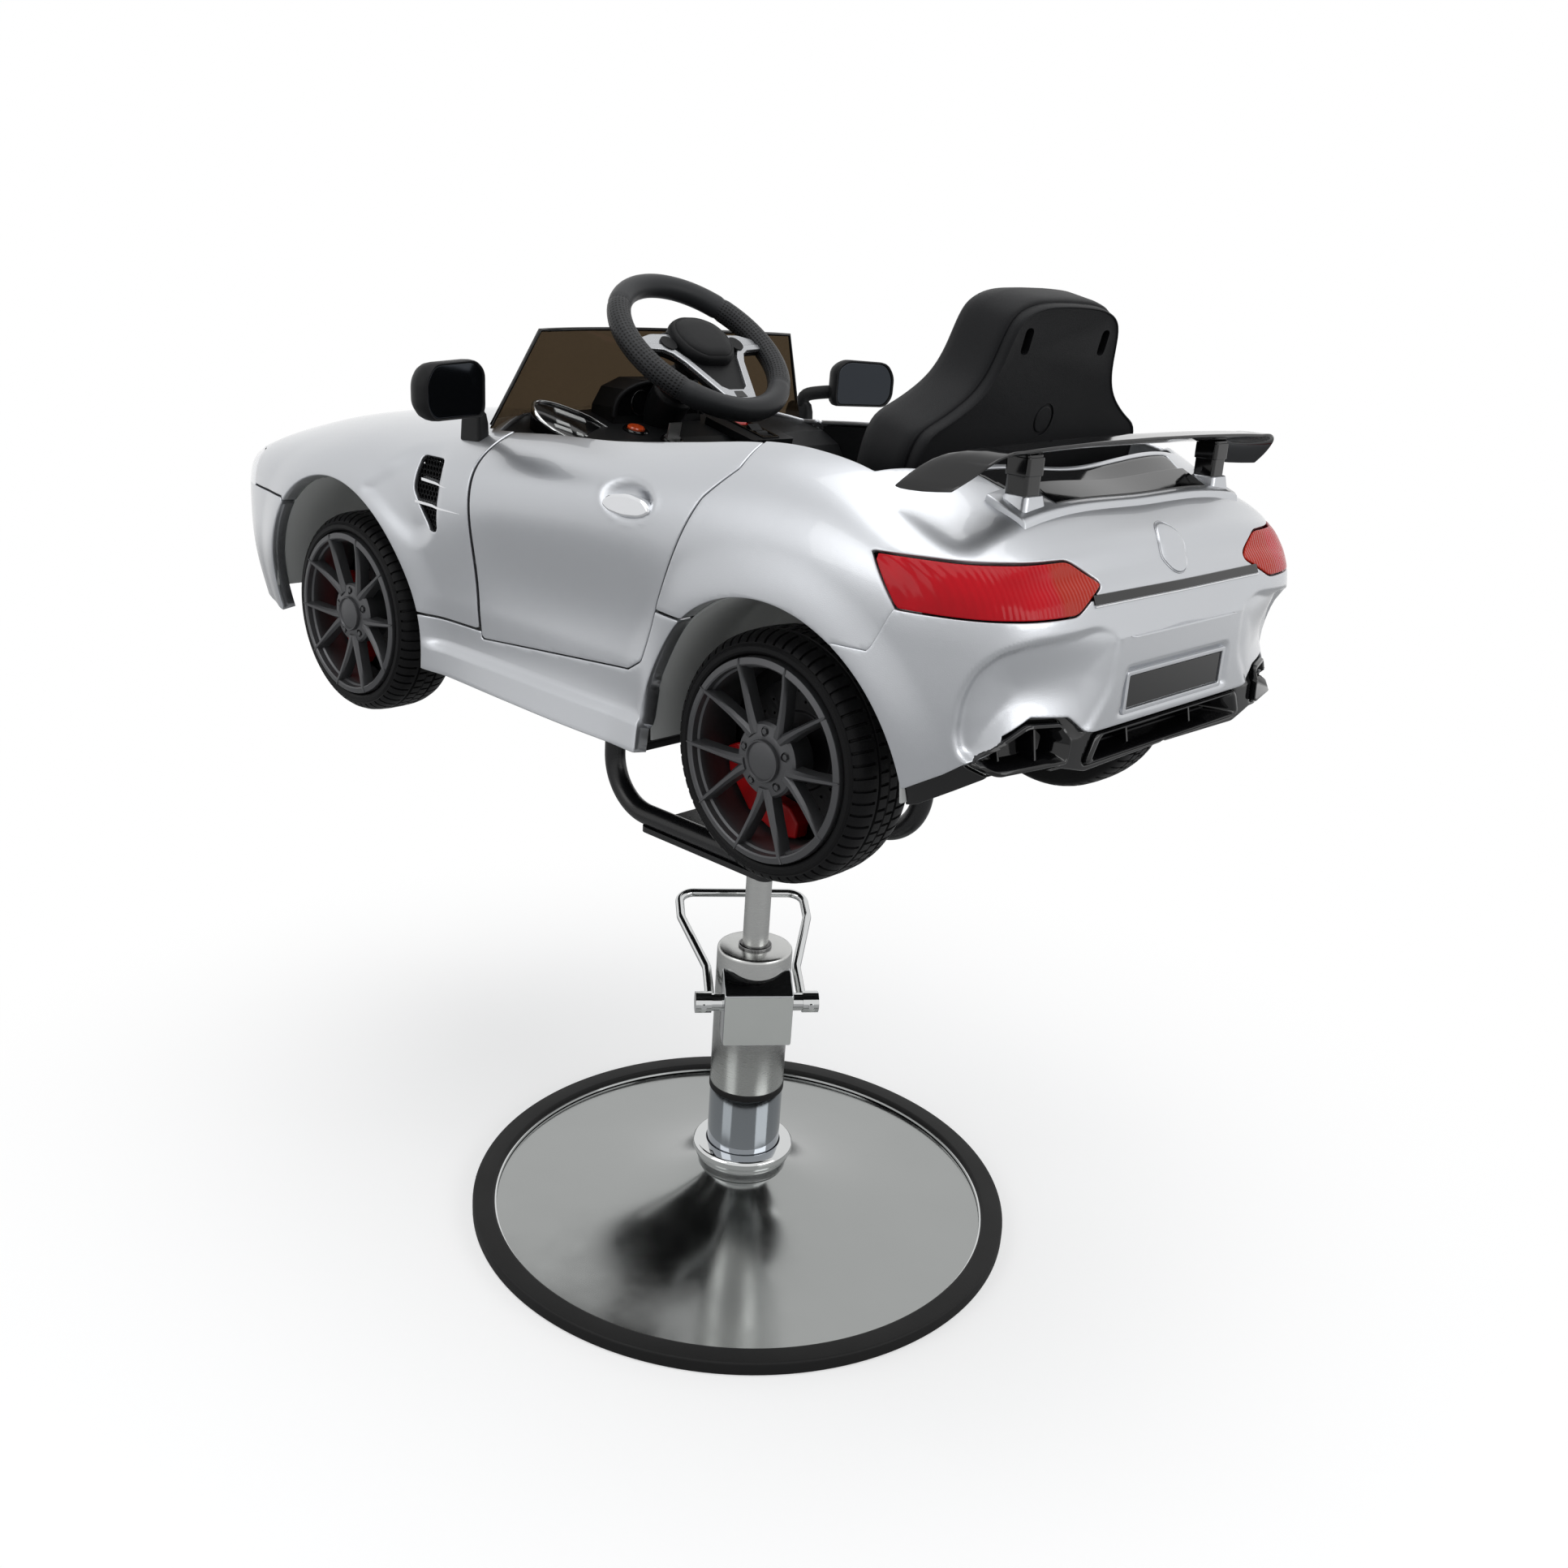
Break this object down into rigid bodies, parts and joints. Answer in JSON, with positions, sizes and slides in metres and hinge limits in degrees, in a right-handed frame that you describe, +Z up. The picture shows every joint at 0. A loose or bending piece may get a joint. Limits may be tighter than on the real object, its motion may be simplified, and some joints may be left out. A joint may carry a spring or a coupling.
{
  "type": "child's barber chair",
  "caption": "Toy roadster body on a chrome hydraulic pedestal, with opening doors, steered wheels and a foot pump lever.",
  "frame": {"origin": "centre of the pedestal's flat underside, on the floor", "axes": "+Z up; the car faces -Y; its left side is +X"},
  "size_m": [0.649, 1.1113, 1.0106],
  "materials": {
    "cast_iron_black": "black paint",
    "black_rubber": "satin",
    "chrome": "polished",
    "brushed_steel": "brushed",
    "dark_steel": "zinc plated",
    "black_steel": "satin black paint",
    "grey_plastic": "moulded",
    "silver_body": "silver metallic paint",
    "black_plastic": "moulded grain",
    "lamp_clear": "clear lens over a silver reflector",
    "lamp_red": "ribbed red lens",
    "gloss_black": "high gloss",
    "smoked_screen": "dark smoked acrylic",
    "red_plastic": "gloss",
    "orange_plastic": "gloss",
    "tyre_plastic": "moulded tread",
    "rim_grey": "satin dark grey paint"
  },
  "bodies": {
    "base": {"base_plate": "cast_iron_black", "base_rim": "black_rubber", "base_dome": "chrome", "base_collar": "chrome", "column_tube": "chrome", "column_sleeve": "brushed_steel", "cylinder_gland": "dark_steel", "pump_block": "chrome"},
    "pump_lever": {"lever_bar": "chrome", "lever_shaft": "chrome"},
    "piston": {"piston_rod": "chrome", "piston_head": "dark_steel"},
    "car": {"swivel_hub": "black_steel", "cradle_tubes": "black_steel", "mounting_rails": "black_steel", "lower_body": "grey_plastic", "hood_shell": "silver_body", "rear_shell": "silver_body", "front_bumper": "silver_body", "rear_bumper": "silver_body", "rear_diffuser": "black_plastic", "front_grille": "black_plastic", "headlamps": "lamp_clear", "tail_lamps": "lamp_red", "side_vents": "black_plastic", "rear_window": "gloss_black", "rear_wing": "gloss_black", "wing_plinth": "silver_body", "windscreen": "smoked_screen", "mirror_bases": "gloss_black", "dashboard": "black_plastic", "radio_panel": "gloss_black", "switch_console": "black_plastic", "seat_base": "black_plastic", "seat_back": "black_plastic", "rear_axle": "dark_steel", "front_axle": "black_steel"},
    "steering": {"steering_column": "dark_steel", "steering_wheel": "black_plastic"},
    "tie_rod": {"tie_rod": "dark_steel"},
    "door_left": {"door_left": "silver_body"},
    "mirror_left": {"mirror_left": "gloss_black"},
    "knuckle_left": {"knuckle_left": "black_steel"},
    "wheel_front_left": {"tyre_front_left": "tyre_plastic", "rim_front_left": "rim_grey"},
    "wheel_rear_left": {"tyre_rear_left": "tyre_plastic", "rim_rear_left": "rim_grey"},
    "horn_button_left": {"horn_button_left": "red_plastic"},
    "door_right": {"door_right": "silver_body"},
    "mirror_right": {"mirror_right": "gloss_black"},
    "knuckle_right": {"knuckle_right": "black_steel"},
    "wheel_front_right": {"tyre_front_right": "tyre_plastic", "rim_front_right": "rim_grey"},
    "wheel_rear_right": {"tyre_rear_right": "tyre_plastic", "rim_rear_right": "rim_grey"},
    "horn_button_right": {"horn_button_right": "red_plastic"},
    "rocker_red": {"rocker_red": "red_plastic"},
    "rocker_black": {"rocker_black": "black_plastic"},
    "start_button": {"start_button": "orange_plastic"},
    "key_switch": {"key_switch": "dark_steel"}
  },
  "joints": [
    {"name": "height", "type": "slide", "parent": "base", "child": "piston", "axis": [0, 0, 1], "range_m": [-0.1, 0.05]},
    {"name": "pump_stroke", "type": "hinge", "parent": "base", "child": "pump_lever", "pos_m": [0.02391, 0.02953, 0.268], "axis": [0.7771, -0.6293, 0], "range_deg": [0, 25], "stiffness_Nm_per_rad": 3, "springref_deg": -20.05},
    {"name": "swivel", "type": "hinge", "parent": "piston", "child": "car", "pos_m": [0, 0, 0.446], "axis": [0, 0, 1], "continuous": true},
    {"name": "steering_turn", "type": "hinge", "parent": "car", "child": "steering", "pos_m": [0, -0.127, 0.931], "axis": [0, 0.6018, 0.7986], "range_deg": [-45, 45]},
    {"name": "door_left_swing", "type": "hinge", "parent": "car", "child": "door_left", "pos_m": [0.259, -0.147, 0.77], "axis": [0, 0, -1], "range_deg": [0, 40]},
    {"name": "mirror_left_fold", "type": "hinge", "parent": "car", "child": "mirror_left", "pos_m": [0.226, -0.192, 0.87], "axis": [0, 0, 1], "range_deg": [0, 40]},
    {"name": "knuckle_left_turn", "type": "hinge", "parent": "car", "child": "knuckle_left", "pos_m": [0.148, -0.397, 0.632], "axis": [0, 0, 1], "range_deg": [-15, 15]},
    {"name": "wheel_front_left_spin", "type": "hinge", "parent": "knuckle_left", "child": "wheel_front_left", "pos_m": [0.2, -0.397, 0.632], "axis": [1, 0, 0], "continuous": true},
    {"name": "wheel_rear_left_spin", "type": "hinge", "parent": "car", "child": "wheel_rear_left", "pos_m": [0.2, 0.218, 0.632], "axis": [1, 0, 0], "continuous": true},
    {"name": "horn_left_press", "type": "slide", "parent": "steering", "child": "horn_button_left", "axis": [0, -0.6018, -0.7986], "range_m": [0, 0.0015], "stiffness_N_per_m": 400, "springref_m": -0.001},
    {"name": "door_right_swing", "type": "hinge", "parent": "car", "child": "door_right", "pos_m": [-0.259, -0.147, 0.77], "axis": [0, 0, 1], "range_deg": [0, 40]},
    {"name": "mirror_right_fold", "type": "hinge", "parent": "car", "child": "mirror_right", "pos_m": [-0.226, -0.192, 0.87], "axis": [0, 0, -1], "range_deg": [0, 40]},
    {"name": "knuckle_right_turn", "type": "hinge", "parent": "car", "child": "knuckle_right", "pos_m": [-0.148, -0.397, 0.632], "axis": [0, 0, 1], "range_deg": [-15, 15]},
    {"name": "wheel_front_right_spin", "type": "hinge", "parent": "knuckle_right", "child": "wheel_front_right", "pos_m": [-0.2, -0.397, 0.632], "axis": [1, 0, 0], "continuous": true},
    {"name": "wheel_rear_right_spin", "type": "hinge", "parent": "car", "child": "wheel_rear_right", "pos_m": [-0.2, 0.218, 0.632], "axis": [1, 0, 0], "continuous": true},
    {"name": "horn_right_press", "type": "slide", "parent": "steering", "child": "horn_button_right", "axis": [0, -0.6018, -0.7986], "range_m": [0, 0.0015], "stiffness_N_per_m": 400, "springref_m": -0.001},
    {"name": "tie_rod_turn", "type": "hinge", "parent": "knuckle_left", "child": "tie_rod", "pos_m": [0.148, -0.33, 0.618], "axis": [0, 0, 1], "range_deg": [-15, 15]},
    {"name": "rocker_red_tip", "type": "hinge", "parent": "car", "child": "rocker_red", "pos_m": [-0.09, -0.15781, 0.8477], "axis": [1, 0, 0], "range_deg": [-12, 12]},
    {"name": "rocker_black_tip", "type": "hinge", "parent": "car", "child": "rocker_black", "pos_m": [-0.09, -0.12466, 0.84016], "axis": [1, 0, 0], "range_deg": [-12, 12]},
    {"name": "start_press", "type": "slide", "parent": "car", "child": "start_button", "axis": [0, -0.2216, -0.9751], "range_m": [0, 0.002], "stiffness_N_per_m": 400, "springref_m": -0.001},
    {"name": "key_turn", "type": "hinge", "parent": "car", "child": "key_switch", "pos_m": [0.028, -0.13334, 0.83803], "axis": [0, 0.2216, 0.9751], "range_deg": [0, 90]}
  ],
  "couplings": [
    {"joint": "knuckle_left_turn", "follows": "steering_turn", "ratio": 0.3333},
    {"joint": "knuckle_right_turn", "follows": "steering_turn", "ratio": 0.3333},
    {"joint": "tie_rod_turn", "follows": "steering_turn", "ratio": -0.3333}
  ]
}
